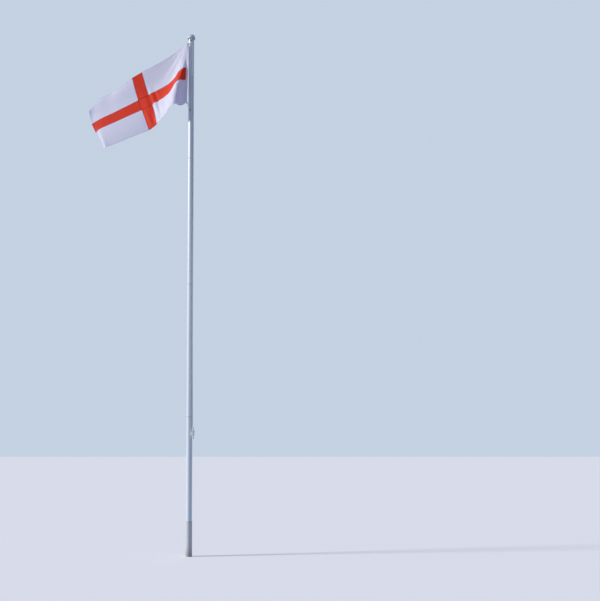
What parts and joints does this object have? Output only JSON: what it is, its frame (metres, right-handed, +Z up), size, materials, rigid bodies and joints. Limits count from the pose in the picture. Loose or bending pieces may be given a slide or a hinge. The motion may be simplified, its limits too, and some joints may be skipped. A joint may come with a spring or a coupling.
{
  "type": "sectional garden flagpole with flag",
  "caption": "Tall white tubular flagpole in a ground sleeve, with a mushroom cap, sheave, halyard and cleat, flying a flag with a red cross on white.",
  "frame": {"origin": "on the pole's axis at ground level, in the middle of the sleeve's foot", "axes": "+Z up along the pole; the flag flies towards -X; the usual view looks along +Y"},
  "size_m": [1.6089, 0.9363, 7],
  "materials": {
    "tube": "white stoved paint on aluminium tube, satin",
    "sleeve": "off-white paint, duller than the pole",
    "casting": "white powder coat on cast aluminium",
    "cap": "white moulded plastic",
    "sheave": "black nylon",
    "pin": "stainless steel",
    "cleat": "white moulded nylon",
    "rope": "white braided polyester rope",
    "heading": "white polyester canvas band",
    "eyelet": "brass",
    "clip": "black nylon",
    "cloth": "woven polyester, white with a sewn red cross"
  },
  "bodies": {
    "pole": {"ground_sleeve": "sleeve", "pole_section_1": "tube", "pole_section_2": "tube", "pole_section_3": "tube", "pole_section_4": "tube", "truck_body": "casting", "mushroom_cap": "cap", "sheave": "sheave", "sheave_pin": "pin", "cleat": "cleat", "halyard_over_sheave": "rope", "halyard_round_cleat": "rope", "halyard_flag_run": "rope", "halyard_return_run": "rope", "halyard_turns": "rope"},
    "flag": {"flag_heading": "heading", "top_eyelet": "eyelet", "foot_eyelet": "eyelet", "top_clip": "clip", "lower_clip": "clip", "foot_link": "pin", "tail_cord": "rope", "flag_cloth": "cloth"}
  },
  "joints": [
    {"name": "flag_hoist", "type": "slide", "parent": "pole", "child": "flag", "axis": [0.0071, 0.0008, -1], "range_m": [0, 4.2]}
  ]
}
